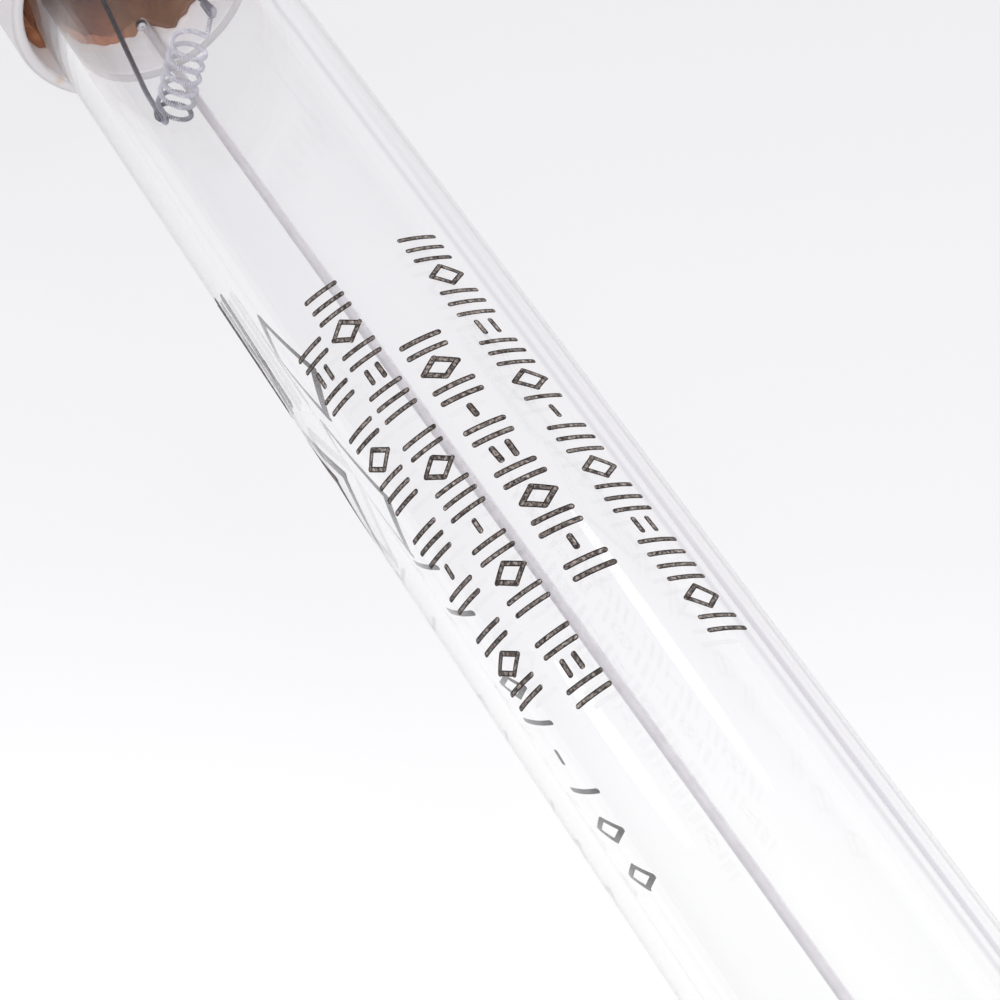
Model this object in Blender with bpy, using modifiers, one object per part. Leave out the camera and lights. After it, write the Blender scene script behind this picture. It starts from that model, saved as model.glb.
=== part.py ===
"""Germicidal quartz tube lamp with a ceramic plug base at one end, lying along +X.

Units are metres. The origin is the centre of the base's socket face, the pins point along -X and +Z is up.
Inside the lamp, U runs across the two pinches, in their plane, and W at right angles to it.
"""

import math
from collections import namedtuple

import bmesh
import bpy
from mathutils import Vector

# Tube
overall_length = 0.212  # from the socket face to the far end face, without the pins
tube_radius = 0.0075
tube_wall = 0.001
press_width = 0.0144
press_thickness = 0.0032
press_length = 0.008
shoulder_length = 0.005
press_turn = math.radians(50.4)  # from +Y towards +Z
fit_gap = 0.00015  # clearance between pieces that touch

# Base, cap and the cement that holds them
shell_wall = 0.0007
shell_edge = 0.0006
mouth_edge = 0.00025
base_length = 0.0289
base_floor = 0.004
base_standoff = 0.004  # from the base's floor to the pinch
base_cement_recess = 0.0037
cap_length = 0.022
cap_floor = 0.002
cap_standoff = 0.005
cap_cement_recess = 0.0012
cement_share = 0.5  # of the glass inside a shell, how much its cement covers

# Pins
pin_radius = 0.00118
pin_length = 0.0069
pin_inside = 0.0008
pin_tip_edge = 0.0005
pin_pitch_u = 0.00792
pin_pitch_w = 0.00635
jumper_rise = 0.0013  # from the pins to the jumper's run

# Electrodes
foil_width = 0.0024
foil_thickness = 0.0001
foil_length = 0.005
foil_from_end = 0.0017
foil_pitch = 0.0052
inner_lead_radius = 0.0002
outer_lead_radius = 0.00025
filament_reach = 0.0295  # from the pinch's outer end to the coil's axis
coil_offset_y = -0.0013
coil_offset_z = 0.00015
coil_radius = 0.00112
coil_wire_radius = 0.0002
coil_pitch = 0.00094
coil_turns = 5.5

# Tips of the two inner leads, beside the coil
first_tip_beyond = 0.00088  # past the coil's end
first_tip_aside = 0.00085  # from the coil's axis
first_tip_past = 0.0003  # further along the tube than the coil's axis
first_bend_length = 0.0026
first_bend_inwards = 0.00016
second_tip_beyond = 0.0018
second_tip_aside = -0.00132
second_tip_past = -0.0006
second_bend_length = 0.0019
second_bend_inwards = 0.0005

# Return wire, splice and bead
return_wire_radius = 0.00035
wire_turn_at_base = math.radians(-12.9)  # from -Z towards +Y
wire_turn_at_cap = math.radians(1.5)
wire_bend = 0.001
lead_bend = 0.0005
wire_rise = 0.0008  # straight stretch above the pin
near_lead_rise = 0.0007  # straight stretches at the pin and under the pinch
far_lead_rise = 0.0006
sleeve_wall = 0.0003
sleeve_length = 0.0024
sleeve_run_in = 0.0015  # from the sleeve's middle to where what it holds turns straight
wire_past_middle = 0.00096
bead_radius = 0.0004
bead_depth = 0.0026  # below the base's mouth
bead_turn = math.radians(-18)

# Mesh density
round_sides = 40
small_sides = 16
shoulder_steps = 5
coil_points = 12  # a turn
wire_stops = 10
merge_distance = 0.00001

# Worked out from the above
bore_radius = tube_radius + 2 * fit_gap + 2 * return_wire_radius
shell_radius = bore_radius + shell_wall
wire_orbit = tube_radius + fit_gap + return_wire_radius
cap_mouth = overall_length - cap_length
pin_top = base_floor + pin_inside + fit_gap
coil_length = coil_turns * coil_pitch
splice_bore = return_wire_radius + 2 * outer_lead_radius + 2 * fit_gap
across = Vector((0, math.cos(press_turn), math.sin(press_turn)))
athwart = Vector((0, -math.sin(press_turn), math.cos(press_turn)))

# One end of the glass: face is the x of the pinch's outer end, way is +1 where the tube runs from it to +X
GlassEnd = namedtuple("GlassEnd", "name face way")
near_end = GlassEnd("near", base_floor + base_standoff, 1)
far_end = GlassEnd("far", overall_length - cap_floor - cap_standoff, -1)


def clear_scene():
    for old in list(bpy.data.objects):
        bpy.data.objects.remove(old, do_unlink=True)


def collection(name, hidden=False):
    made = bpy.data.collections.new(name)
    bpy.context.scene.collection.children.link(made)
    made.hide_render = hidden
    return made


def material(name, colour, metallic=0.0, roughness=0.5, transmission=0.0):
    made = bpy.data.materials.new(name)
    made.use_nodes = True
    surface = made.node_tree.nodes["Principled BSDF"]
    surface.inputs["Base Color"].default_value = (*colour, 1)
    surface.inputs["Metallic"].default_value = metallic
    surface.inputs["Roughness"].default_value = roughness
    surface.inputs["Transmission Weight"].default_value = transmission
    return made


def place(name, data, finish, home):
    obj = bpy.data.objects.new(name, data)
    home.objects.link(obj)
    if finish:
        data.materials.append(finish)
    return obj


def as_cutter(obj):
    obj.hide_render = True
    obj.display_type = "WIRE"
    return obj


def cut(obj, cutter):
    difference = obj.modifiers.new("cut", "BOOLEAN")
    difference.operation = "DIFFERENCE"
    difference.solver = "EXACT"
    difference.object = cutter


def at(x, u=0.0, w=0.0):
    """A point at x along the lamp, u and w from its axis in the pinches' own directions."""
    return Vector((x, 0, 0)) + across * u + athwart * w


def inside(end, depth, u=0.0, w=0.0):
    """A point at a depth into the lamp from the outer face of one of its pinches."""
    return at(end.face + end.way * depth, u, w)


def on_orbit(x, orbit, turn):
    """A point at x, at a radius from the axis, turned from straight down."""
    return Vector((x, orbit * math.sin(turn), -orbit * math.cos(turn)))


def solid_mesh(name, bm, smooth=False):
    mesh = bpy.data.meshes.new(name)
    bm.to_mesh(mesh)
    bm.free()
    for face in mesh.polygons:
        face.use_smooth = smooth
    return mesh


def turned(name, profile, finish, home, sides=round_sides, closed=False):
    """A body of revolution about X, with one facet straight down.

    The profile's points are (x, radius). They run along the bore first and then down the outer side.
    """
    mesh = bpy.data.meshes.new(name)
    facet = math.pi / sides
    points = [(r * math.cos(facet), r * math.sin(facet), x) for x, r in profile]
    edges = [(i, i + 1) for i in range(len(points) - 1)]
    if closed:
        edges.append((len(points) - 1, 0))
    mesh.from_pydata(points, edges, [])
    obj = place(name, mesh, finish, home)
    obj.rotation_euler = (0, math.pi / 2, 0)
    screw = obj.modifiers.new("turn", "SCREW")
    screw.steps = sides
    screw.render_steps = sides
    screw.use_merge_vertices = True
    screw.merge_threshold = merge_distance
    screw.use_smooth_shade = True
    return obj


def arc(x, r, radius, start, end, steps=2):
    """Profile points of a rounded edge about (x, r), from one angle to the other, in degrees from +X."""
    turns = [math.radians(start + (end - start) * i / steps) for i in range(steps + 1)]
    return [(x + radius * math.cos(a), r + radius * math.sin(a)) for a in turns]


def bar(name, first, last, radius, finish, home, sides=small_sides):
    """A straight round bar between two points on a line along X."""
    bm = bmesh.new()
    length = abs(last.x - first.x)
    bmesh.ops.create_cone(bm, cap_ends=True, segments=sides, radius1=radius, radius2=radius, depth=length)
    obj = place(name, solid_mesh(name, bm), finish, home)
    obj.rotation_euler = (0, math.pi / 2, 0)
    obj.location = (first + last) / 2
    return obj


def plate(name, centre, size, finish, home):
    """A box with the given size along X, U and W."""
    bm = bmesh.new()
    bmesh.ops.create_cube(bm, size=1)
    bmesh.ops.scale(bm, vec=size, verts=bm.verts)
    obj = place(name, solid_mesh(name, bm), finish, home)
    obj.rotation_euler = (press_turn, 0, 0)
    obj.location = centre
    return obj


def wire(name, points, radius, finish, home):
    """A round wire through the given points."""
    curve = bpy.data.curves.new(name, "CURVE")
    curve.dimensions = "3D"
    curve.bevel_depth = radius
    curve.bevel_resolution = 2
    curve.use_fill_caps = True
    spline = curve.splines.new("POLY")
    spline.points.add(len(points) - 1)
    for corner, point in zip(spline.points, points):
        corner.co = (*point, 1)
    return place(name, curve, finish, home)


def mesh_of(curve_object, home):
    """The curve as a closed mesh in the same place, with the curve removed."""
    bpy.context.view_layer.update()
    depsgraph = bpy.context.evaluated_depsgraph_get()
    mesh = bpy.data.meshes.new_from_object(curve_object.evaluated_get(depsgraph))
    bm = bmesh.new()
    bm.from_mesh(mesh)
    bmesh.ops.remove_doubles(bm, verts=bm.verts, dist=merge_distance)
    bm.to_mesh(mesh)
    bm.free()
    name, placed = curve_object.name, curve_object.matrix_world.copy()
    bpy.data.objects.remove(curve_object, do_unlink=True)
    obj = place(name, mesh, None, home)
    obj.matrix_world = placed
    return obj


def rounded(points, bend, steps=3):
    """The points of a bent wire: each inner corner becomes a short curve that starts and ends bend away."""
    path = [points[0]]
    for before, corner, after in zip(points, points[1:], points[2:]):
        reach = min(bend, (corner - before).length / 2, (after - corner).length / 2)
        first = corner + (before - corner).normalized() * reach
        last = corner + (after - corner).normalized() * reach
        for i in range(steps + 1):
            t = i / steps
            path.append(first * (1 - t) ** 2 + corner * 2 * t * (1 - t) + last * t * t)
    path.append(points[-1])
    return path


def glass_section(t, grow):
    """Half width, half thickness and squareness of the glass, from t = 0 at a pinch to t = 1 at the tube."""
    ease = t * t * (3 - 2 * t)
    half_width = press_width / 2 + (tube_radius - press_width / 2) * ease
    half_thickness = press_thickness / 2 + (tube_radius - press_thickness / 2) * ease
    squareness = 2 + 4 * (1 - ease) ** 4
    return half_width + grow, half_thickness + grow, squareness


def glass_rings(end, grow, start=0.0):
    """Stations of one shoulder, from start past the pinch to the round tube, grown outwards by grow."""
    rings = []
    for i in range(shoulder_steps + 1):
        t = i / shoulder_steps
        depth = press_length + start + (shoulder_length - start) * t
        rings.append((end.face + end.way * depth, *glass_section(t, grow)))
    return rings


def loft(name, stations, finish, home):
    """A closed body through stations of x, half width, half thickness and squareness."""
    bm = bmesh.new()
    rings = []
    for x, half_width, half_thickness, squareness in stations:
        ring = []
        for i in range(round_sides):
            turn = 2 * math.pi * (i + 0.5) / round_sides
            c, s = math.cos(turn), math.sin(turn)
            u = half_width * math.copysign(abs(c) ** (2 / squareness), c)
            w = half_thickness * math.copysign(abs(s) ** (2 / squareness), s)
            ring.append(bm.verts.new(at(x, u, w)))
        rings.append(ring)
    for low, high in zip(rings, rings[1:]):
        for i in range(round_sides):
            j = (i + 1) % round_sides
            bm.faces.new((low[i], low[j], high[j], high[i]))
    bm.faces.new(rings[0])
    bm.faces.new(rings[-1])
    bmesh.ops.recalc_face_normals(bm, faces=bm.faces)
    return place(name, solid_mesh(name, bm, smooth=True), finish, home)


def glass_body(name, grow, finish, home):
    """The outer form of the tube and its two pinches, grown outwards by grow."""
    near_face = (near_end.face - grow, *glass_section(0, grow))
    far_face = (far_end.face + grow, *glass_section(0, grow))
    middle = [*glass_rings(near_end, grow), *reversed(glass_rings(far_end, grow))]
    return loft(name, [near_face, *middle, far_face], finish, home)


def make_envelope(home, cutters, finish):
    """The quartz tube, hollow between its pinches, with ways through them for the leads and foils."""
    envelope = glass_body("quartz_envelope", 0, finish, home)
    start = tube_wall / 2
    rings = [*glass_rings(near_end, -tube_wall, start), *reversed(glass_rings(far_end, -tube_wall, start))]
    cut(envelope, as_cutter(loft("hollow", rings, None, cutters)))
    slot_size = [side + 2 * fit_gap for side in (foil_length, foil_width, foil_thickness)]
    foil_end = foil_from_end + foil_length
    for end in (near_end, far_end):
        for number, u in ((1, -foil_pitch / 2), (2, foil_pitch / 2)):
            middle = inside(end, foil_from_end + foil_length / 2, u)
            slot = plate(f"{end.name}_foil_slot_{number}", middle, slot_size, None, cutters)
            low, high = inside(end, foil_end - fit_gap, u), inside(end, press_length + tube_wall, u)
            radius = inner_lead_radius + fit_gap
            way_in = bar(f"{end.name}_inner_way_{number}", low, high, radius, None, cutters)
            low, high = inside(end, -fit_gap, u), inside(end, foil_from_end + fit_gap, u)
            radius = outer_lead_radius + fit_gap
            way_out = bar(f"{end.name}_outer_way_{number}", low, high, radius, None, cutters)
            for cutter in (slot, way_in, way_out):
                cut(envelope, as_cutter(cutter))


def beside_coil(end, u, w, x):
    """A point u along the coil from its middle, w across it, and x further along the tube."""
    middle = inside(end, filament_reach) + Vector((0, coil_offset_y, coil_offset_z))
    return middle + across * u + athwart * w + Vector((end.way * x, 0, 0))


def first_tip(end):
    return beside_coil(end, -coil_length / 2 - first_tip_beyond, first_tip_aside, first_tip_past)


def second_tip(end):
    return beside_coil(end, coil_length / 2 + second_tip_beyond, second_tip_aside, second_tip_past)


def make_filament(end, home, finish):
    """The coiled electrode, with a leg at each end that reaches its lead."""
    steps = round(coil_turns * coil_points)
    coil = []
    for i in range(steps + 1):
        turn = math.pi / 2 + 2 * math.pi * coil_turns * i / steps
        along_coil = coil_length * (i / steps - 0.5)
        coil.append(beside_coil(end, along_coil, coil_radius * math.sin(turn), coil_radius * math.cos(turn)))
    clear = inner_lead_radius + coil_wire_radius + 2 * fit_gap
    first_leg = first_tip(end) + (coil[0] - first_tip(end)).normalized() * clear
    last_leg = second_tip(end) + (coil[-1] - second_tip(end)).normalized() * clear
    wire(f"{end.name}_filament", [first_leg, *coil, last_leg], coil_wire_radius, finish, home)


def make_foils_and_inner_leads(end, home, foil_finish, lead_finish):
    """The two sealing foils in a pinch, and the leads that stand on them and carry the coil."""
    foil_size = (foil_length, foil_width, foil_thickness)
    bends = (
        (1, -1, first_tip(end), first_bend_length, first_bend_inwards),
        (2, 1, second_tip(end), second_bend_length, second_bend_inwards),
    )
    for number, side, tip, bend_length, bend_inwards in bends:
        u = side * foil_pitch / 2
        middle = inside(end, foil_from_end + foil_length / 2, u)
        plate(f"{end.name}_foil_{number}", middle, foil_size, foil_finish, home)
        foot = inside(end, foil_from_end + foil_length + fit_gap, u)
        pinch_top = inside(end, press_length + tube_wall, u)
        below_tip = tip - Vector((end.way * bend_length, 0, 0)) - across * (side * bend_inwards)
        path = rounded([foot, pinch_top, below_tip, tip], lead_bend)
        wire(f"{end.name}_inner_lead_{number}", path, inner_lead_radius, lead_finish, home)


def make_near_outer_leads(home, finish):
    """Leads from the near foils to the first two pins."""
    for number, side in ((1, -1), (2, 1)):
        foil = inside(near_end, foil_from_end - fit_gap, side * foil_pitch / 2)
        below_pinch = inside(near_end, -near_lead_rise, side * foil_pitch / 2)
        pin = at(pin_top, side * pin_pitch_u / 2, pin_pitch_w / 2)
        path = rounded([foil, below_pinch, pin + Vector((near_lead_rise, 0, 0)), pin], lead_bend)
        wire(f"near_outer_lead_{number}", path, outer_lead_radius, finish, home)


def wire_turn(x):
    """How far the return wire is turned from straight down at x."""
    share = (x - base_length) / (cap_mouth - base_length)
    return wire_turn_at_base + (wire_turn_at_cap - wire_turn_at_base) * share


def in_splice(x, down=0.0, aside=0.0):
    """A point x along the splice sleeve from its middle, down towards the return wire's side, and aside."""
    turn = wire_turn(far_end.face)
    orbit = bore_radius - 2 * fit_gap - splice_bore - sleeve_wall
    middle = far_end.face + cap_standoff - 2 * fit_gap - sleeve_length / 2
    sideways = Vector((0, math.cos(turn), math.sin(turn)))
    return on_orbit(middle + x, orbit + down, turn) + sideways * aside


def make_far_outer_leads(home, finish):
    """Leads from the far foils round into the splice sleeve, above the return wire."""
    down = outer_lead_radius + fit_gap - splice_bore / 2
    for number, side in ((1, -1), (2, 1)):
        aside = side * (outer_lead_radius + fit_gap)
        foil = inside(far_end, foil_from_end - fit_gap, side * foil_pitch / 2)
        past_pinch = inside(far_end, -far_lead_rise, side * foil_pitch / 2)
        before_sleeve = in_splice(-sleeve_run_in, down, aside)
        path = rounded([foil, past_pinch, before_sleeve, in_splice(0, down, aside)], lead_bend)
        wire(f"far_outer_lead_{number}", path, outer_lead_radius, finish, home)


def make_splice_sleeve(home, finish):
    half = sleeve_length / 2
    outer = splice_bore + sleeve_wall
    profile = [(-half, splice_bore), (half, splice_bore), (half, outer), (-half, outer)]
    sleeve = turned("splice_sleeve", profile, finish, home, small_sides, closed=True)
    sleeve.location = in_splice(0)


def return_wire_path():
    """The return wire's points, from its pin up past the pinch, along the tube and into the splice sleeve."""
    shared_pin = at(pin_top, -pin_pitch_u / 2, -pin_pitch_w / 2)
    foot = shared_pin - across * (return_wire_radius + fit_gap / 2)
    start = near_end.face + press_length / 2
    end = far_end.face - press_length / 2
    stops = [start + (end - start) * i / wire_stops for i in range(wire_stops + 1)]
    along_tube = [on_orbit(x, wire_orbit, wire_turn(x)) for x in stops]
    down = splice_bore - return_wire_radius - fit_gap
    before_sleeve, tip = in_splice(-sleeve_run_in, down), in_splice(wire_past_middle, down)
    first = rounded([foot, foot + Vector((wire_rise, 0, 0)), *along_tube[:2]], wire_bend)
    last = rounded([*along_tube[-2:], before_sleeve, tip], wire_bend)
    return [*first, *along_tube[2:-2], *last]


def make_pin_jumper(home, finish):
    """Short wire that joins the return wire's pin to the one beside it."""
    rise = Vector((jumper_rise, 0, 0))
    foot = at(pin_top, -pin_pitch_u / 2, -pin_pitch_w / 2) + across * (outer_lead_radius + fit_gap / 2)
    end = at(pin_top, pin_pitch_u / 2, -pin_pitch_w / 2)
    path = rounded([foot, foot + rise, end + rise, end], lead_bend)
    wire("pin_jumper", path, outer_lead_radius, finish, home)


def make_cement(name, surface, bottom, finish, home, cutters):
    """A collar of cement between a shell's bore and the glass, with a way through it for the return wire."""
    collar = bar(name, at(surface), at(bottom), bore_radius - fit_gap, finish, home, round_sides)
    for cutter in cutters:
        cut(collar, cutter)


def make_shell(name, mouth, closed_end, floor, finish, home):
    """A ceramic cup along X, open at its mouth and closed at its other end."""
    way = 1 if mouth > closed_end else -1
    floor_x = closed_end + floor * way
    rim = mouth - mouth_edge * way
    back = closed_end + shell_edge * way
    inner_turn, outer_turn, back_turn = (360, 0, 180) if way > 0 else (180, 180, 0)
    profile = [
        (floor_x, 0),
        (floor_x, bore_radius),
        *arc(rim, bore_radius + mouth_edge, mouth_edge, 270, inner_turn),
        *arc(rim, shell_radius - mouth_edge, mouth_edge, outer_turn, 90),
        *arc(back, shell_radius - shell_edge, shell_edge, 90, back_turn),
        (closed_end, 0),
    ]
    shell = turned(name, profile, finish, home)
    shell.modifiers["turn"].use_normal_flip = way < 0
    return shell


def make_pins(base, home, cutters, finish):
    """Four plug pins on a rectangle, each through its own hole in the base's floor."""
    profile = [
        (base_floor + pin_inside, 0),
        (base_floor + pin_inside, pin_radius),
        (pin_tip_edge - pin_length, pin_radius),
        (-pin_length, pin_radius - pin_tip_edge),
        (-pin_length, 0),
    ]
    corners = ((-1, 1), (1, 1), (-1, -1), (1, -1))
    for number, (u_side, w_side) in enumerate(corners, 1):
        u, w = u_side * pin_pitch_u / 2, w_side * pin_pitch_w / 2
        pin = turned(f"contact_pin_{number}", profile, finish, home, small_sides)
        pin.location = at(0, u, w)
        low, high = at(-fit_gap, u, w), at(base_floor + fit_gap, u, w)
        cut(base, as_cutter(bar(f"pin_hole_{number}", low, high, pin_radius + fit_gap, None, cutters)))


def make_bead(home, finish):
    """A bead of mercury low on the inner wall of the tube, by the base."""
    bm = bmesh.new()
    bmesh.ops.create_uvsphere(bm, u_segments=12, v_segments=8, radius=bead_radius)
    bead = place("mercury_bead", solid_mesh("mercury_bead", bm, smooth=True), finish, home)
    orbit = tube_radius - tube_wall - fit_gap - bead_radius
    bead.location = on_orbit(base_length - bead_depth, orbit, bead_turn)


def build():
    clear_scene()
    lamp = collection("uv_light_bulb")
    cutters = collection("cutters", hidden=True)
    ceramic = material("ceramic", (0.86, 0.84, 0.81), roughness=0.45)
    cement = material("cement", (0.33, 0.19, 0.11), roughness=0.85)
    quartz = material("quartz", (0.97, 0.98, 0.98), roughness=0.02, transmission=1.0)
    brass = material("plated_brass", (0.75, 0.72, 0.66), metallic=1.0, roughness=0.3)
    tungsten = material("tungsten", (0.42, 0.42, 0.44), metallic=1.0, roughness=0.4)
    nickel = material("nickel", (0.52, 0.52, 0.55), metallic=1.0, roughness=0.3)
    molybdenum = material("molybdenum", (0.45, 0.44, 0.44), metallic=1.0, roughness=0.5)
    mercury = material("mercury", (0.8, 0.8, 0.82), metallic=1.0, roughness=0.05)
    bare_wire = material("nickel_wire", (0.72, 0.7, 0.71), metallic=1.0, roughness=0.4)

    make_envelope(lamp, cutters, quartz)
    for end in (near_end, far_end):
        make_foils_and_inner_leads(end, lamp, molybdenum, nickel)
        make_filament(end, lamp, tungsten)
    make_near_outer_leads(lamp, nickel)
    make_far_outer_leads(lamp, nickel)
    make_splice_sleeve(lamp, nickel)
    make_pin_jumper(lamp, nickel)
    wire("return_wire", return_wire_path(), return_wire_radius, bare_wire, lamp)
    make_bead(lamp, mercury)

    glass_seat = as_cutter(glass_body("glass_seat", fit_gap, None, cutters))
    wire_way = wire("wire_way", return_wire_path(), return_wire_radius + fit_gap, None, cutters)
    seats = (glass_seat, as_cutter(mesh_of(wire_way, cutters)))
    surface = base_length - base_cement_recess
    depth = (base_length - near_end.face) * cement_share
    make_cement("base_cement", surface, surface - depth, cement, lamp, seats)
    surface = cap_mouth + cap_cement_recess
    depth = (far_end.face - cap_mouth) * cement_share
    make_cement("end_cement", surface, surface + depth, cement, lamp, seats)

    base = make_shell("base_shell", base_length, 0, base_floor, ceramic, lamp)
    make_shell("end_cap", cap_mouth, overall_length, cap_floor, ceramic, lamp)
    make_pins(base, lamp, cutters, brass)


build()
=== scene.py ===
import math
import random

import bpy
from mathutils import Matrix, Vector


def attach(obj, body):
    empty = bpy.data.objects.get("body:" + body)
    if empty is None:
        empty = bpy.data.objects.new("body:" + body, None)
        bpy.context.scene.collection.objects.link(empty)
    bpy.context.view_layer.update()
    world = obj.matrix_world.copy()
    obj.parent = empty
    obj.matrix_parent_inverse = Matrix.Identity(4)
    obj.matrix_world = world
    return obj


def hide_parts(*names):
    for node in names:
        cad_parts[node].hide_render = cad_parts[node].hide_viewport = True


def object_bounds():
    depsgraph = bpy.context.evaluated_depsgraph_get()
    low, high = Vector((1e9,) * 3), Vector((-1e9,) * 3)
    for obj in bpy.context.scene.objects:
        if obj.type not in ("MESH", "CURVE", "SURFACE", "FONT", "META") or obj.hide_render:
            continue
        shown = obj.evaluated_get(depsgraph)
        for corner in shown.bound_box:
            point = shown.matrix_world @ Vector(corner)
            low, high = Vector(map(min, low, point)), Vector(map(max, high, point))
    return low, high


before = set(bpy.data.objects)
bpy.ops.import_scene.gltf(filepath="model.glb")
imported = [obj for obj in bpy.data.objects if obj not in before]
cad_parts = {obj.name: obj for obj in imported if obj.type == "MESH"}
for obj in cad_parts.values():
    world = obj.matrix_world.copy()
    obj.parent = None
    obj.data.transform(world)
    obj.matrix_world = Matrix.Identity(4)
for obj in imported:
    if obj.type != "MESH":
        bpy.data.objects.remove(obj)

cad_box = [list(corner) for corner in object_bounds()]

# The camera stands straight above the tube, past the printed rows, and looks down along it to the base.
# Its direction is given by where its right side and its top point, in the lamp's own frame.
camera_place = (0.16079, 0, 0.13286)
camera_right = Vector((0.487, 0.816, -0.312)).normalized()
camera_top = Vector((-0.69, 0.578, 0.436))
camera_back = camera_right.cross(camera_top).normalized()
camera_axes = (camera_right, camera_back.cross(camera_right), camera_back)
bpy.ops.object.camera_add(location=camera_place)
camera = bpy.context.object
camera.name = "camera"
camera.matrix_world = Matrix(camera_axes).transposed().to_4x4()
camera.location = camera_place
camera.data.sensor_width = 36
camera.data.lens = 102.6
bpy.context.scene.camera = camera
bpy.context.scene.view_settings.view_transform = "Standard"

# A plain pale sheet lies under the lamp. It fades from a light grey behind the base to white past the print
# and keeps a weak shadow. Where it is seen through glass, it has two soft grey lines along the lamp.
bpy.ops.mesh.primitive_circle_add(vertices=96, radius=4, fill_type="NGON", location=(0.1, 0, cad_box[0][2]))
floor = bpy.context.object
floor.name = "floor"
bpy.ops.object.transform_apply(location=True, rotation=False, scale=False)


def node(tree, kind, inputs=None, **settings):
    """Add a shader node with its properties. Each input, by number or name, takes a value or a socket."""
    made = tree.nodes.new(kind)
    for key, value in settings.items():
        setattr(made, key, value)
    for name, given in (inputs or {}).items():
        if isinstance(given, bpy.types.NodeSocket):
            tree.links.new(given, made.inputs[name])
        else:
            made.inputs[name].default_value = given
    return made


def empty_material(name):
    made = bpy.data.materials.new(name)
    made.use_nodes = True
    made.node_tree.nodes.clear()
    return made, made.node_tree


def place_on(tree):
    """A surface point's place in the lamp's frame."""
    return node(tree, "ShaderNodeTexCoord").outputs["Object"]


def apart(tree, vector):
    """A vector's X, Y and Z."""
    return node(tree, "ShaderNodeSeparateXYZ", {0: vector}).outputs


def figured(tree, operation, *values):
    """The result of a sum on one, two or three values."""
    return node(tree, "ShaderNodeMath", dict(enumerate(values)), operation=operation).outputs[0]


def stretch(tree, value, low, high, to_low=0, to_high=1):
    """A mask that goes from to_low to to_high while the value goes from low to high."""
    limits = {"Value": value, "From Min": low, "From Max": high, "To Min": to_low, "To Max": to_high}
    return node(tree, "ShaderNodeMapRange", limits).outputs[0]


def ramp(tree, value, stops):
    """A colour ramp over a value, from stops of (position, colour)."""
    made = node(tree, "ShaderNodeValToRGB", {"Fac": value})
    for index, (position, colour) in enumerate(stops):
        stop = made.color_ramp.elements[index] if index < 2 else made.color_ramp.elements.new(position)
        stop.position = position
        stop.color = (*colour, 1)
    return made.outputs["Color"]


def blended(tree, share, first, second):
    """The first colour where share is 0, and the second where it is 1."""
    inputs = {"Factor": share, 6: first, 7: second}
    return node(tree, "ShaderNodeMix", inputs, data_type="RGBA").outputs[2]


def multiplied(tree, first, second, share=1):
    """The first colour darkened by the second one."""
    inputs = {"Factor": share, 6: first, 7: second}
    return node(tree, "ShaderNodeMix", inputs, data_type="RGBA", blend_type="MULTIPLY").outputs[2]


def surfaced(tree, shader):
    """Let a shader be the look of the material's surface."""
    node(tree, "ShaderNodeOutputMaterial", {"Surface": shader.outputs[0]})


sheet, tree = empty_material("pale sheet")
down_the_picture = (6.897, -5.865, 0)
place = place_on(tree)
fade = node(tree, "ShaderNodeVectorMath", {0: place, 1: down_the_picture}, operation="DOT_PRODUCT")
seen = ramp(tree, fade.outputs["Value"], (
    (0.18, (0.842, 0.834, 0.853)), (0.37, (0.880, 0.870, 0.892)), (0.51, (0.907, 0.897, 0.917)),
    (0.59, (0.947, 0.940, 0.960)), (0.65, (0.99, 0.985, 0.995)), (0.70, (1.0, 1.0, 1.0)),
))
lines_within = 0.04
faint_lines_to, full_lines_from = 0.03, 0.085
beside_lamp = stretch(tree, apart(tree, place)["Y"], 0, lines_within)
inner_line = ramp(tree, beside_lamp, (
    (0.0, (1, 1, 1)), (0.228, (1, 1, 1)), (0.25, (0.70, 0.69, 0.72)), (0.268, (0.72, 0.71, 0.74)),
    (0.29, (0.98, 0.975, 0.98)),
))
outer_line = ramp(tree, beside_lamp, (
    (0.0, (1, 1, 1)), (0.40, (1, 1, 1)), (0.44, (0.74, 0.73, 0.77)), (0.52, (0.70, 0.69, 0.73)),
    (0.56, (0.98, 0.98, 0.98)),
))
towards_print = stretch(tree, apart(tree, place)["X"], faint_lines_to, full_lines_from, 0.1, 1)
lines = multiplied(tree, inner_line, outer_line, towards_print)
rays = node(tree, "ShaderNodeLightPath").outputs
shown = blended(tree, rays["Is Transmission Ray"], seen, multiplied(tree, seen, lines))
straight_or_through = figured(tree, "MAXIMUM", rays["Is Camera Ray"], rays["Is Transmission Ray"])
looked_at = figured(tree, "MAXIMUM", straight_or_through, rays["Is Glossy Ray"])
shadow_share = 0.08
glow_share = figured(tree, "MULTIPLY", looked_at, 1 - shadow_share)
lit = node(tree, "ShaderNodeBsdfDiffuse", {"Color": (0.86, 0.86, 0.87, 1)})
glow = node(tree, "ShaderNodeEmission", {"Color": shown})
surfaced(tree, node(tree, "ShaderNodeMixShader", {0: glow_share, 1: lit.outputs[0], 2: glow.outputs[0]}))
floor.data.materials.append(sheet)

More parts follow.
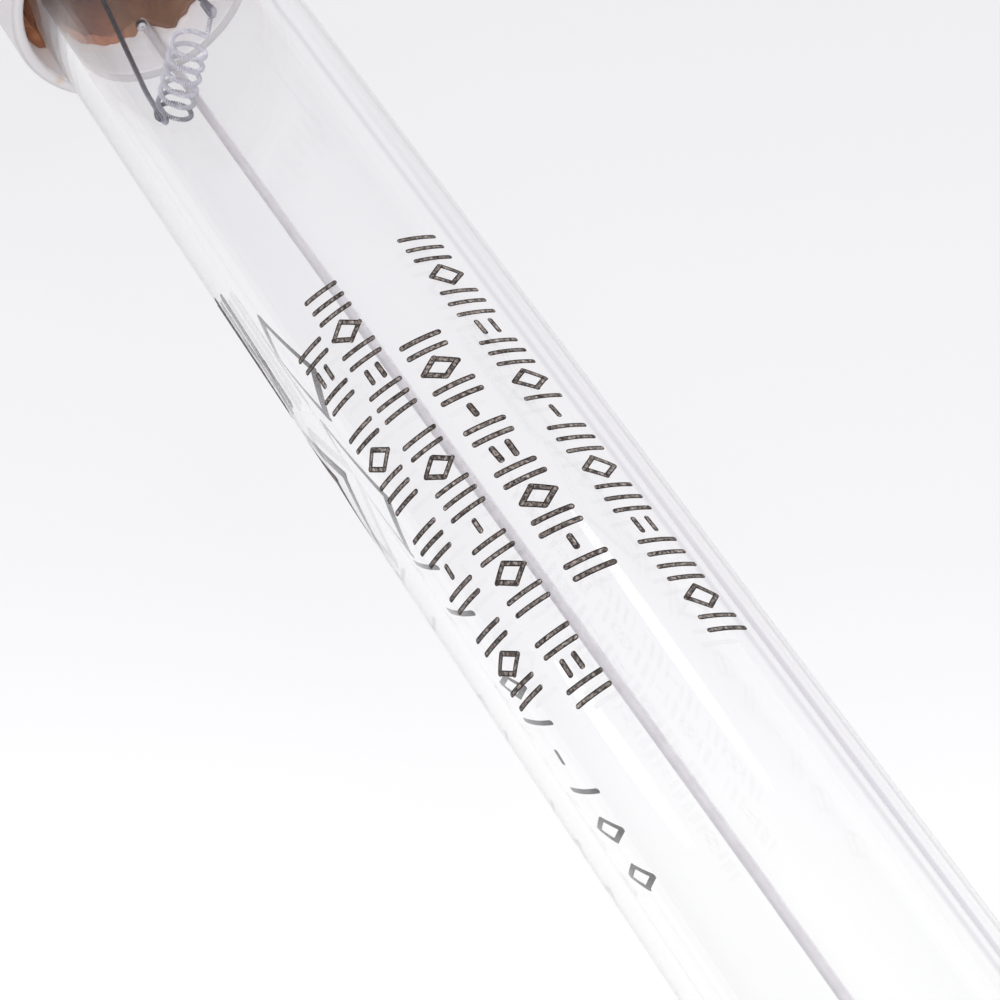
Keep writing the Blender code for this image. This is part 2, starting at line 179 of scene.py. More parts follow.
# Soft studio light comes from an even room, a broad panel above on the lamp's left and one in front of the
# base. Glass and metal show a white room, dimmer behind the base and low on the right, and a small round
# panel behind the base that draws the two long highlights on the tube.
world = bpy.data.worlds.new("studio")
bpy.context.scene.world = world
world.use_nodes = True
tree = world.node_tree
tree.nodes.clear()
direction = apart(tree, node(tree, "ShaderNodeTexCoord").outputs["Generated"])
low_right = ramp(tree, stretch(tree, direction["Y"], -1, 1), (
    (0.0, (0.45, 0.45, 0.48)), (0.12, (0.8, 0.8, 0.82)), (0.3, (1, 1, 1)), (1.0, (0.97, 0.97, 0.98)),
))
behind_base = ramp(tree, stretch(tree, direction["X"], -1, 0), (
    (0.2, (0.42, 0.41, 0.45)), (0.36, (0.62, 0.61, 0.65)), (0.56, (0.97, 0.97, 0.98)),
))
mirrored_room = multiplied(tree, low_right, behind_base)
rays = node(tree, "ShaderNodeLightPath").outputs
in_glass_or_metal = figured(tree, "MAXIMUM", rays["Is Glossy Ray"], rays["Is Transmission Ray"])
room_light = (0.46, 0.46, 0.49, 1)
room = blended(tree, in_glass_or_metal, room_light, mirrored_room)
shown = blended(tree, rays["Is Camera Ray"], room, (1, 1, 1, 1))
background = node(tree, "ShaderNodeBackground", {"Color": shown})
node(tree, "ShaderNodeOutputWorld", {"Surface": background.outputs[0]})


def panel(name, location, aim, width, height, watts, mirrored=False):
    """An area light that faces the point aim, and shows in glossy surfaces only where it is mirrored."""
    bpy.ops.object.light_add(type="AREA", location=location)
    light = bpy.context.object
    light.name = name
    light.data.shape = "ELLIPSE" if mirrored else "RECTANGLE"
    light.data.size = width
    light.data.size_y = height
    light.data.energy = watts
    light.rotation_euler = (Vector(aim) - light.location).to_track_quat("-Z", "Y").to_euler()
    light.visible_glossy = mirrored
    light.visible_transmission = mirrored


middle = (0.09, 0, 0)
base_mouth = (0.03, 0, 0)
panel("overhead_panel", (0.12, 0.64, 0.64), middle, width=0.7, height=0.5, watts=4.0)
panel("front_panel", (0.72, -0.2, 0.92), base_mouth, width=0.6, height=0.6, watts=10.5)
panel("streak_panel", (-0.215, -0.424, 0.43), middle, width=0.07, height=0.11, watts=0.06, mirrored=True)

# The lamp's tube is clear fused quartz, drawn to 15 mm with a 1 mm wall. Each end is softened in a flame
# and pinched flat over its foils. The press stands edgewise in the base, turned from the level.
tube_radius = 0.0075
tube_wall = 0.001
tube_sides = 192
near_face, far_face = 0.008, 0.205
press_turn = math.radians(50.4)
press_length = 0.008
press_half_width = 0.0072
press_half_thickness = 0.0016
press_squareness, round_squareness = 6, 2
press_edge = 0.0004
shoulder_length = 0.005
hollow_start = 0.0004
across = Vector((0, math.cos(press_turn), math.sin(press_turn)))
athwart = Vector((0, -math.sin(press_turn), math.cos(press_turn)))


def glass_section(t, grow):
    """Half width, half thickness and squareness of the glass, from a pinch at t = 0 to the tube at t = 1."""
    ease = t * t * (3 - 2 * t)
    half_width = press_half_width + (tube_radius - press_half_width) * ease
    half_thickness = press_half_thickness + (tube_radius - press_half_thickness) * ease
    squareness = round_squareness + (press_squareness - round_squareness) * (1 - ease) ** 4
    return half_width + grow, half_thickness + grow, squareness


def shoulder(face, way, grow, start, steps=20):
    """The sections from a pinch to the round tube, the first of them a little way up the shoulder."""
    sections = []
    for i in range(steps + 1):
        t = i / steps
        x = face + way * (press_length + start + (shoulder_length - start) * t)
        sections.append((x, *glass_section(t, grow)))
    return sections


def alone(obj=None):
    """Deselect everything, then select and activate one object."""
    if bpy.context.mode != "OBJECT":
        bpy.ops.object.mode_set(mode="OBJECT")
    bpy.ops.object.select_all(action="DESELECT")
    if obj:
        obj.select_set(True)
        bpy.context.view_layer.objects.active = obj


def drawn(name, sections, sides):
    """Extrude a disc through every section's place, then press each ring to its section."""
    alone()
    upright = (0, math.pi / 2, 0)
    bpy.ops.mesh.primitive_circle_add(vertices=sides, radius=1, fill_type="NGON", rotation=upright)
    made = bpy.context.object
    made.name = name
    bpy.ops.object.transform_apply(location=True, rotation=True, scale=True)
    bpy.ops.object.mode_set(mode="EDIT")
    bpy.ops.mesh.select_all(action="SELECT")
    for section in sections[1:]:
        bpy.ops.mesh.extrude_region_move(TRANSFORM_OT_translate={"value": (1, 0, 0)})
    bpy.ops.object.mode_set(mode="OBJECT")
    for corner in made.data.vertices:
        x, half_width, half_thickness, squareness = sections[round(corner.co.x)]
        turn = math.atan2(corner.co.z, corner.co.y)
        c, s = math.cos(turn), math.sin(turn)
        u = half_width * math.copysign(abs(c) ** (2 / squareness), c)
        w = half_thickness * math.copysign(abs(s) ** (2 / squareness), s)
        corner.co = Vector((x, 0, 0)) + across * u + athwart * w
    bpy.ops.object.mode_set(mode="EDIT")
    bpy.ops.mesh.select_all(action="SELECT")
    bpy.ops.mesh.normals_make_consistent(inside=False)
    bpy.ops.object.mode_set(mode="OBJECT")
    return made


def joined(name, pieces):
    alone(pieces[0])
    for piece in pieces:
        piece.select_set(True)
    bpy.ops.object.join()
    pieces[0].name = name
    return pieces[0]


def smooth(obj, degrees=40):
    alone(obj)
    bpy.ops.object.shade_smooth_by_angle(angle=math.radians(degrees))


def finished(obj, material, nodes):
    """Give a piece its material, let it ride on the lamp and stand for its CAD nodes."""
    obj.data.materials.clear()
    obj.data.materials.append(material)
    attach(obj, "root")
    if nodes:
        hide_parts(*nodes)


outer = [
    (near_face, *glass_section(0, -press_edge)), (near_face + press_edge, *glass_section(0, 0)),
    *shoulder(near_face, 1, 0, 0), *reversed(shoulder(far_face, -1, 0, 0)),
    (far_face - press_edge, *glass_section(0, 0)), (far_face, *glass_section(0, -press_edge)),
]
hollow = [
    *shoulder(near_face, 1, -tube_wall, hollow_start),
    *reversed(shoulder(far_face, -1, -tube_wall, hollow_start)),
]
tube = drawn("quartz_tube", outer, tube_sides)
bore = drawn("quartz_bore", hollow, tube_sides)
alone(bore)
bpy.ops.object.mode_set(mode="EDIT")
bpy.ops.mesh.select_all(action="SELECT")
bpy.ops.mesh.flip_normals()
bpy.ops.object.mode_set(mode="OBJECT")
tube = joined("quartz_tube", [tube, bore])
smooth(tube, 50)

quartz, tree = empty_material("fused quartz")
glass = node(tree, "ShaderNodeBsdfPrincipled", {
    "Base Color": (0.998, 0.999, 1, 1), "Roughness": 0.0, "IOR": 1.458, "Transmission Weight": 1.0,
})
clear = node(tree, "ShaderNodeBsdfTransparent", {"Color": (0.97, 0.97, 0.975, 1)})
shadow_ray = node(tree, "ShaderNodeLightPath").outputs["Is Shadow Ray"]
surfaced(tree, node(tree, "ShaderNodeMixShader", {0: shadow_ray, 1: glass.outputs[0], 2: clear.outputs[0]}))
finished(tube, quartz, ["quartz_envelope"])

# The base is a ceramic cup, glazed white outside. Its bore is a warmer white and is painted much lighter
# than the outside, a painted lift of light in the bore's shade. It is pressed with a rounded rim and fired,
# and four pins stand in its closed end.
base_length = 0.0289
base_floor = 0.004
bore_radius = 0.0083
shell_radius = 0.00917
bore_corner = 0.0005
inner_rim = 0.00025
outer_rim = 0.00045
heel = 0.0006
bore_light_radii = (0.00831, 0.00836)
rim_shade_from = 0.0086
lamp_middle, clear_reach = 0.106, 0.1005
smear_place = (0.0289, -0.00812, -0.0026)
smear_core, smear_reach = 0.0001, 0.00045
turned_steps = 144


def turned(name, profile, steps):
    """Draw a profile of (x, radius) points edge by edge, and spin it round the lamp's axis."""
    alone()
    bpy.ops.mesh.primitive_plane_add(size=0.001)
    made = bpy.context.object
    made.name = name
    bpy.ops.object.mode_set(mode="EDIT")
    bpy.ops.mesh.merge(type="CENTER")
    points = [Vector((x, 0, r)) for x, r in profile]
    bpy.ops.transform.translate(value=points[0])
    for before, after in zip(points, points[1:]):
        bpy.ops.mesh.extrude_region_move(TRANSFORM_OT_translate={"value": after - before})
    bpy.ops.mesh.select_all(action="SELECT")
    bpy.ops.mesh.spin(steps=steps, angle=2 * math.pi, center=(0, 0, 0), axis=(1, 0, 0))
    bpy.ops.mesh.select_all(action="SELECT")
    bpy.ops.mesh.remove_doubles(threshold=0.000002)
    bpy.ops.mesh.normals_make_consistent(inside=False)
    bpy.ops.object.mode_set(mode="OBJECT")
    return made


def arc(x, r, radius, start, end, steps=6):
    """Profile points of a rounded edge about (x, r), in degrees from +X."""
    turns = [math.radians(start + (end - start) * i / steps) for i in range(steps + 1)]
    return [(x + radius * math.cos(a), r + radius * math.sin(a)) for a in turns]


base_profile = [
    (base_floor, 0), (base_floor, bore_radius - bore_corner),
    *arc(base_floor + bore_corner, bore_radius - bore_corner, bore_corner, 180, 90),
    *arc(base_length - inner_rim, bore_radius + inner_rim, inner_rim, 270, 360),
    *arc(base_length - outer_rim, shell_radius - outer_rim, outer_rim, 0, 90),
    *arc(heel, shell_radius - heel, heel, 90, 180), (0, 0),
]
base = turned("ceramic_base", base_profile, turned_steps)
smooth(base)


def mottled_group():
    """A shader node group: two colours, a polish and a relief that vary together over a surface."""
    group = bpy.data.node_groups.new("mottled finish", "ShaderNodeTree")
    given_sockets = (
        ("Light", "NodeSocketColor", (1, 1, 1, 1)), ("Dark", "NodeSocketColor", (0, 0, 0, 1)),
        ("Scale", "NodeSocketFloat", 500), ("Roughness", "NodeSocketFloat", 0.5),
        ("Relief", "NodeSocketFloat", 0.1), ("Depth", "NodeSocketFloat", 0.00001),
    )
    made_sockets = (
        ("Color", "NodeSocketColor"), ("Roughness", "NodeSocketFloat"),
        ("Normal", "NodeSocketVector"), ("Mask", "NodeSocketFloat"),
    )
    for name, kind, value in given_sockets:
        group.interface.new_socket(name, in_out="INPUT", socket_type=kind).default_value = value
    for name, kind in made_sockets:
        group.interface.new_socket(name, in_out="OUTPUT", socket_type=kind)
    given = node(group, "NodeGroupInput").outputs
    clouds = node(group, "ShaderNodeTexNoise", {
        "Vector": place_on(group), "Scale": given["Scale"], "Detail": 5, "Roughness": 0.6,
    }).outputs["Fac"]
    mask = stretch(group, clouds, 0.32, 0.68)
    rougher = stretch(group, mask, 0, 1, 1.25, 0.8)
    relief = {"Strength": given["Relief"], "Distance": given["Depth"], "Height": clouds}
    node(group, "NodeGroupOutput", {
        "Color": blended(group, mask, given["Dark"], given["Light"]),
        "Roughness": figured(group, "MULTIPLY", rougher, given["Roughness"]),
        "Normal": node(group, "ShaderNodeBump", relief).outputs[0],
        "Mask": mask,
    })
    return group


mottled = mottled_group()


def finish_of(name, light, dark, scale, roughness, relief, depth, **shader):
    """A material with the mottled finish on a Principled shader, whose plain settings come by name."""
    made, tree = empty_material(name)
    tones = node(tree, "ShaderNodeGroup", {
        "Light": (*light, 1), "Dark": (*dark, 1), "Scale": scale,
        "Roughness": roughness, "Relief": relief, "Depth": depth,
    }, node_tree=mottled).outputs
    plain = {key.replace("_", " "): value for key, value in shader.items()}
    surface = node(tree, "ShaderNodeBsdfPrincipled", {
        "Base Color": tones["Color"], "Roughness": tones["Roughness"], "Normal": tones["Normal"], **plain,
    })
    surfaced(tree, surface)
    return made, tones, surface


def coloured(surface, colour):
    """Let a socket of the material's own give a finished surface its colour."""
    surface.id_data.links.new(colour, surface.inputs["Base Color"])


def by_radius(tree, inner, outer):
    """A mask over the distance from the lamp's axis, from 0 at inner to 1 at outer."""
    flat = node(tree, "ShaderNodeVectorMath", {0: place_on(tree), 1: (0, 1, 1)}, operation="MULTIPLY")
    distance = node(tree, "ShaderNodeVectorMath", {0: flat.outputs[0]}, operation="LENGTH")
    return stretch(tree, distance.outputs["Value"], inner, outer)


ceramic, tones, surface = finish_of(
    "glazed ceramic", (0.61, 0.59, 0.595), (0.575, 0.555, 0.56),
    scale=180, roughness=0.36, relief=0.12, depth=0.00004,
    Subsurface_Weight=0.2, Subsurface_Radius=(1, 0.92, 0.9), Subsurface_Scale=0.0008,
    Coat_Weight=0.25, Coat_Roughness=0.12,
)
tree = ceramic.node_tree
# Painted light: the bore is drawn near white, much lighter than the outside, to lift the shade inside it.
painted_bore_light = (1.0, 0.965, 0.975, 1)
glazed = blended(tree, by_radius(tree, *bore_light_radii), painted_bore_light, tones["Color"])
# Painted shade: a grey ring round the rim's rounded outer edge.
rim_painted_shade = ramp(tree, by_radius(tree, rim_shade_from, shell_radius), (
    (0.0, (1, 1, 1)), (0.45, (1, 1, 1)), (0.8, (0.76, 0.75, 0.76)), (0.98, (1, 1, 1)),
))
clear_of_ends = figured(tree, "COMPARE", apart(tree, place_on(tree))["X"], lamp_middle, clear_reach)
toned = blended(tree, clear_of_ends, tones["Color"], multiplied(tree, glazed, rim_painted_shade))
smear_colour = (0.5, 0.38, 0.25, 1)
from_smear = node(tree, "ShaderNodeVectorMath", {0: place_on(tree), 1: smear_place}, operation="DISTANCE")
smear = stretch(tree, from_smear.outputs["Value"], smear_core, smear_reach, 0.6, 0)
coloured(surface, blended(tree, smear, toned, smear_colour))
finished(base, ceramic, ["base_shell"])

# The far end has a plain cap of the same ceramic. It is pressed like the base, has no pins, and is cemented
# over the tube's other pinch.
cap_mouth, cap_floor, cap_end = 0.19, 0.21, 0.212
cap_profile = [
    (cap_floor, 0), (cap_floor, bore_radius - bore_corner),
    *arc(cap_floor - bore_corner, bore_radius - bore_corner, bore_corner, 0, 90),
    *arc(cap_mouth + inner_rim, bore_radius + inner_rim, inner_rim, 270, 180),
    *arc(cap_mouth + inner_rim, shell_radius - inner_rim, inner_rim, 180, 90),
    *arc(cap_end - heel, shell_radius - heel, heel, 90, 0), (cap_end, 0),
]
cap = turned("ceramic_end_cap", cap_profile, turned_steps)
smooth(cap)
finished(cap, ceramic, ["end_cap"])

# Brown basing cement fills the ring between glass and ceramic. It was pushed in wet and dried with a lumpy
# edge. Across the lamp its colour is redder on one side, bluish grey near the middle and darker on the
# other.
cement_gap = 0.00004
lump_size = 0.0022
face_rows = 8
cement_steps = 240
across_reach = 0.006
glass_tint_from, glass_tint_to = 0.00755, 0.00785
cement, tones, surface = finish_of(
    "basing cement", (0.58, 0.27, 0.12), (0.35, 0.135, 0.08),
    scale=420, roughness=0.8, relief=0.7, depth=0.00015,
)
tree = cement.node_tree
# A tint over Y multiplies the colour: warm and light towards -Y, bluish grey before the axis, dark from the
# axis on to +Y.
across_tint = ramp(tree, stretch(tree, apart(tree, place_on(tree))["Y"], -across_reach, across_reach), (
    (0.0, (1.0, 0.93, 0.86)), (0.1, (1.0, 0.89, 0.96)), (0.2, (0.86, 0.87, 0.95)),
    (0.29, (0.68, 0.77, 0.77)), (0.37, (0.78, 0.75, 0.64)), (0.45, (0.48, 0.43, 0.32)),
    (0.56, (0.50, 0.45, 0.33)), (0.64, (0.60, 0.60, 0.54)),
))
# Towards the glass the cement is a little darker and less blue.
glass_side_tint = ramp(tree, by_radius(tree, glass_tint_from, glass_tint_to), (
    (0.0, (0.92, 0.92, 0.96)), (1.0, (0.95, 0.95, 1.0)),
))
coloured(surface, multiplied(tree, multiplied(tree, tones["Color"], across_tint), glass_side_tint))


def cement_ring(name, surface_x, bottom_x):
    """A ring of cement from its lumpy face at surface_x down to bottom_x."""
    inner, outer = tube_radius + cement_gap, bore_radius - cement_gap
    face = [(surface_x, inner + (outer - inner) * i / face_rows) for i in range(face_rows + 1)]
    ring = turned(name, [*face, (bottom_x, outer), (bottom_x, inner), face[0]], cement_steps)
    lumps = bpy.data.textures.new(name, "CLOUDS")
    lumps.noise_scale = lump_size
    lumps.noise_depth = 2
    group = ring.vertex_groups.new(name="face")
    group.add([v.index for v in ring.data.vertices if abs(v.co.x - surface_x) < 0.0001], 1.0, "REPLACE")
    lumpy = ring.modifiers.new("lumps", "DISPLACE")
    lumpy.texture = lumps
    lumpy.direction = "X"
    lumpy.strength = lump_size
    lumpy.mid_level = 0.5
    lumpy.vertex_group = "face"
    alone(ring)
    bpy.ops.object.modifier_apply(modifier="lumps")
    smooth(ring, 60)
    return ring


base_cement_top, base_cement_bottom = 0.0252, 0.0152
base_cement = cement_ring("base_cement_ring", base_cement_top, base_cement_bottom)
lobes = (
    (-180, 0.8), (-173, 0.3), (-167, -0.4), (-160, 0), (-151, 0.35), (-143, 0.3), (-125, 0.5),
    (-112, 0.6), (-100, 1.1), (-85, 0.8), (-60, 0), (110, 0), (140, 0.3), (162, 0.7), (170, 0.9),
    (180, 0.8),
)


def lobe_at(turn):
    """How many millimetres the cement's face stands out at an angle round the lamp."""
    for (angle, lift), (next_angle, next_lift) in zip(lobes, lobes[1:]):
        if turn <= next_angle:
            return lift + (next_lift - lift) * (turn - angle) / (next_angle - angle)


for corner in base_cement.data.vertices:
    if corner.co.x > (base_cement_top + base_cement_bottom) / 2:
        corner.co.x += 0.001 * lobe_at(math.degrees(math.atan2(corner.co.y, corner.co.z)))
finished(base_cement, cement, ["base_cement"])
cap_cement_top, cap_cement_bottom = 0.1913, 0.1987
cap_cement = cement_ring("cap_cement_ring", cap_cement_top, cap_cement_bottom)
finished(cap_cement, cement, ["end_cement"])

# Four plug pins of plated brass stand in the base. Each is turned with a bevelled tip and a collar, and is
# riveted through the base's floor.
pin_radius = 0.00118
pin_length = 0.0069
pin_depth = 0.0048
pin_bevel = 0.0005
collar_radius = 0.0016
collar_edge = 0.00015
pin_steps = 32
pin_grid = (0.00396, 0.003175)
pin_corners = ((-1, 1), (1, 1), (-1, -1), (1, -1))


def metal(name, light, dark, roughness, scale):
    """A metal whose tone and polish change a little over its surface."""
    return finish_of(name, light, dark, scale, roughness, relief=0.15, depth=0.00001, Metallic=1.0)[0]


plated = metal("plated brass", (0.78, 0.75, 0.68), (0.66, 0.62, 0.54), roughness=0.28, scale=900)
pin_profile = [
    (pin_depth, 0), (pin_depth, 0.0009), (pin_depth - 0.0002, pin_radius), (0, pin_radius),
    (0, collar_radius), *arc(-0.00025, collar_radius - collar_edge, collar_edge, 90, 180, 3),
    (-0.00042, 0.00132), (-0.00045, pin_radius),
    *arc(-0.0063, pin_radius - pin_bevel, pin_bevel, 90, 180),
    (-0.0068, 0.0004), (-pin_length, 0.0002), (-pin_length, 0),
]
pin_places = [across * (u * pin_grid[0]) + athwart * (w * pin_grid[1]) for u, w in pin_corners]
for number, pin_place in enumerate(pin_places, 1):
    pin = turned(f"plug_pin_{number}", pin_profile, pin_steps)
    alone(pin)
    bpy.ops.transform.translate(value=pin_place)
    bpy.ops.object.transform_apply(location=True, rotation=False, scale=False)
    smooth(pin, 35)
    finished(pin, plated, [f"contact_pin_{number}"])

# Each electrode lead is a stiff nickel-plated wire that stands in the pinch. It turns in beside the coil
# and its tip is folded back over the coil's leg as a clamp.
coil_pitch = 0.00094
coil_length = 5.5 * coil_pitch
coil_turns = 6.5
coil_radius = 0.00112
coil_depth = 0.0295
coil_offset = (-0.0013, 0.00015)
first_leg = (-coil_length / 2 - 0.00088, 0.00085, 0.0003)
last_leg = (coil_length / 2 + 0.0018, -0.00132, -0.0006)
lead_radius = 0.00019
lead_bend = 0.0006
lead_spread = 0.0026
lead_foot = 0.00685
lead_way_out = 0.009
clamp_width = 0.0005
clamp_length = 0.0011
clamp_bend = 0.0003
lamp_ends = (("near", near_face, 1), ("far", far_face, -1))


def bent(points, bend, steps=8):
    """The points of a bent wire: each inner corner becomes a curve that starts and ends bend away."""
    path = [points[0]]
    for before, corner, after in zip(points, points[1:], points[2:]):
        reach = min(bend, (corner - before).length / 2, (after - corner).length / 2)
        first = corner + (before - corner).normalized() * reach
        last = corner + (after - corner).normalized() * reach
        for i in range(steps + 1):
            t = i / steps
            path.append(first * (1 - t) ** 2 + corner * 2 * t * (1 - t) + last * t * t)
    path.append(points[-1])
    return path


def wire(name, points, radius, sides=16):
    """A round wire laid as a curve through points and made a closed mesh."""
    alone()
    bpy.ops.curve.primitive_nurbs_path_add()
    made = bpy.context.object
    made.name = name
    made.data.splines.clear()
    spline = made.data.splines.new("POLY")
    spline.points.add(len(points) - 1)
    for corner, point in zip(spline.points, points):
        corner.co = (*point, 1)
    made.data.bevel_depth = radius
    made.data.bevel_resolution = max(0, (sides - 4) // 2)
    made.data.use_fill_caps = True
    bpy.ops.object.convert(target="MESH")
    made = bpy.context.object
    bpy.ops.object.mode_set(mode="EDIT")
    bpy.ops.mesh.select_all(action="SELECT")
    bpy.ops.mesh.remove_doubles(threshold=0.000001)
    bpy.ops.mesh.normals_make_consistent(inside=False)
    bpy.ops.object.mode_set(mode="OBJECT")
    smooth(made, 50)
    return made


def inside(face, way, depth, u=0.0, w=0.0):
    """A point in the tube, at a depth from a pinch's face, u across and w athwart the pinch."""
    return Vector((face + way * depth, 0, 0)) + across * u + athwart * w


def beside_coil(face, way, u, w, x):
    """A point by the coil, u along it, w athwart and x further up the tube."""
    return inside(face, way, coil_depth, u, w) + Vector((way * x, *coil_offset))


def leg_ends(face, way):
    """Where the coil's two legs end, each in the tip of its lead."""
    return beside_coil(face, way, *first_leg), beside_coil(face, way, *last_leg)


nickel = metal("nickel lead", (0.52, 0.50, 0.56), (0.34, 0.33, 0.39), roughness=0.36, scale=1500)
lead_shapes = ((1, -1, 0.0026, 0.00016), (2, 1, 0.0019, 0.0005))
for end_name, face, way in lamp_ends:
    along = Vector((way, 0, 0))
    for (number, side, bend_length, bend_inwards), tip in zip(lead_shapes, leg_ends(face, way)):
        outwards = across * side
        foot = inside(face, way, lead_foot, side * lead_spread)
        pinch_top = inside(face, way, lead_way_out, side * lead_spread)
        below_tip = tip - along * bend_length - outwards * bend_inwards
        path = bent([foot, pinch_top, below_tip, tip], lead_bend)
        folded = tip - outwards * clamp_width
        over_tip = [tip + along * clamp_bend, folded + along * clamp_bend]
        clamp = bent([path[-2], *over_tip, folded - along * clamp_length], clamp_bend)
        path = [*path[:-1], *clamp[1:]]
        lead = wire(f"{end_name}_electrode_lead_{number}", path, lead_radius)
        finished(lead, nickel, [f"{end_name}_inner_lead_{number}"])

# Each electrode is tungsten wire coiled twice: a hair-fine spiral that is wound again into six and a half
# wide turns across the tube. A pale coat lies on its turns, and a leg at each end goes to its lead's clamp.
spiral_radius = 0.00013
spiral_pitch = 0.00015
spiral_points = 7
spiral_sides = 5
hair_radius = 0.00005
coated_to, bare_from = 0.0021, 0.0040
tungsten, tones, surface = finish_of(
    "tungsten spiral", (0.27, 0.26, 0.30), (0.08, 0.075, 0.095),
    scale=1600, roughness=0.5, relief=0.2, depth=0.00001,
)
tree = tungsten.node_tree
along_coil = node(tree, "ShaderNodeVectorMath", {0: place_on(tree), 1: across}, operation="DOT_PRODUCT")
from_middle = figured(tree, "ABSOLUTE", along_coil.outputs["Value"])
coat = stretch(tree, from_middle, coated_to, bare_from, 1, 0)
coat_colour = (0.58, 0.565, 0.625, 1)
coloured(surface, blended(tree, coat, tones["Color"], coat_colour))


def coiled(path, radius, pitch, points_a_turn):
    """A fine spiral wound round a path."""
    lengths = [0.0]
    for before, after in zip(path, path[1:]):
        lengths.append(lengths[-1] + (after - before).length)
    count = round(lengths[-1] / pitch * points_a_turn)
    made, index = [], 0
    side = (path[1] - path[0]).orthogonal().normalized()
    for i in range(count + 1):
        s = lengths[-1] * i / count
        while index < len(path) - 2 and lengths[index + 1] < s:
            index += 1
        share = (s - lengths[index]) / (lengths[index + 1] - lengths[index])
        point = path[index].lerp(path[index + 1], share)
        along = (path[index + 1] - path[index]).normalized()
        side = (side - along * side.dot(along)).normalized()
        turn = 2 * math.pi * i / points_a_turn
        over = along.cross(side)
        made.append(point + side * (radius * math.cos(turn)) + over * (radius * math.sin(turn)))
    return made


def coil_path(face, way, points_a_turn=48):
    """The wide turns, from one leg's end to the other's."""
    steps = round(coil_turns * points_a_turn)
    first, last = leg_ends(face, way)
    path = [first]
    for i in range(steps + 1):
        turn = math.pi / 2 + 2 * math.pi * coil_turns * i / steps
        u = coil_length / 2 - coil_pitch * coil_turns * (1 - i / steps)
        w, x = coil_radius * math.sin(turn), coil_radius * math.cos(turn)
        path.append(beside_coil(face, way, u, w, x))
    return [*path, last]


for end_name, face, way in lamp_ends:
    spiral = coiled(coil_path(face, way), spiral_radius, spiral_pitch, spiral_points)
    electrode = wire(f"{end_name}_electrode_spiral", spiral, hair_radius, spiral_sides)
    finished(electrode, tungsten, [f"{end_name}_filament"])

# The return wire is a bare nickel wire that runs along the outside of the tube, under it, from a pin to the
# leads of the far electrode. It lies close to the glass with a slight wander.
wire_orbit = 0.00792
return_wire_radius = 0.00037
return_wire_bend = 0.004
wire_foot, foot_length = 0.00495, 0.0008
beside_pin = 0.000425
paler_to, paler_gone_from = 0.03, 0.042
bare_wire, tones, surface = finish_of(
    "bare return wire", (0.85, 0.82, 0.84), (0.76, 0.73, 0.76),
    scale=700, roughness=0.5, relief=0.15, depth=0.00001, Metallic=0.2,
)
tree = bare_wire.node_tree
# Painted light and reflection: the wire is drawn paler near the base, in place of the pale bore it mirrors
# there.
by_the_base = stretch(tree, apart(tree, place_on(tree))["X"], paler_to, paler_gone_from, 0.7, 0)
painted_light_colour = (0.98, 0.93, 0.96, 1)
brightened = blended(tree, by_the_base, tones["Color"], painted_light_colour)
# Painted shade: the wire's -Y side is drawn darker and its +Y side lighter, as light from the +Y side would
# fall.
painted_lit_side = node(tree, "ShaderNodeAttribute", attribute_name="painted_lit_side").outputs["Fac"]
painted_side_shade = ramp(tree, painted_lit_side, ((0.0, (0.73, 0.72, 0.73)), (0.5, (0.88, 0.88, 0.88)), (1.0, (1, 1, 1))))
coloured(surface, multiplied(tree, brightened, painted_side_shade))


def on_orbit(x, orbit, degrees):
    """A point at a radius from the lamp's axis and an angle from straight below it."""
    turn = math.radians(degrees)
    return Vector((x, orbit * math.sin(turn), -orbit * math.cos(turn)))


wander = (
    (0.012, -14.3), (0.02, -13.8), (0.028, -13.1), (0.036, -12.8), (0.044, -12.1), (0.056, -10.7),
    (0.07, -9.4), (0.084, -8.05), (0.092, -7.2), (0.1, -6.4), (0.106, -6.15), (0.114, -5.9), (0.13, -4.2),
    (0.15, -2.1), (0.17, -0.6), (0.19, 1.5), (0.201, 2.4),
)
shared_pin = pin_places[2]
foot = Vector((wire_foot, 0, 0)) + shared_pin - across * beside_pin
above_foot = foot + Vector((foot_length, 0, 0))
stops = [on_orbit(x, wire_orbit, turn) for x, turn in wander]
route = bent([foot, above_foot, *stops], return_wire_bend, 6)
return_wire = wire("return_wire_run", route, return_wire_radius)
# Each point's share of the painted light, from its normal's Y.
side_share = return_wire.data.attributes.new("painted_lit_side", "FLOAT", "POINT")
for corner, share in zip(return_wire.data.vertices, side_share.data):
    share.value = 0.5 + 0.5 * corner.normal.y
finished(return_wire, bare_wire, ["return_wire"])

# A small round bead of mercury rests on the tube's inner wall beside the base, where it gathered as the
# lamp cooled.
bead_radius = 0.0004
bead_place = on_orbit(0.0263, 0.00609, -18)
alone()
bpy.ops.mesh.primitive_uv_sphere_add(segments=48, ring_count=24, radius=bead_radius, location=bead_place)
bead = bpy.context.object
bead.name = "mercury_drop"
bpy.ops.object.transform_apply(location=True, rotation=False, scale=False)
smooth(bead)
mercury = metal("mercury", (0.66, 0.64, 0.67), (0.58, 0.56, 0.6), roughness=0.06, scale=100)
finished(bead, mercury, ["mercury_bead"])

# The leads behind the pinches, the foils, the jumper and the splice are hidden in the ceramic. They keep
# their solids and get the finish of their metals.
foil = metal("molybdenum foil", (0.5, 0.49, 0.49), (0.36, 0.35, 0.36), roughness=0.45, scale=800)
for name, cad_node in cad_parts.items():
    hidden_metal = None
    if "foil" in name:
        hidden_metal = foil
    elif name in ("pin_jumper", "splice_sleeve") or "outer_lead" in name:
        hidden_metal = nickel
    if hidden_metal:
        cad_node.data.materials.clear()
        cad_node.data.materials.append(hidden_metal)

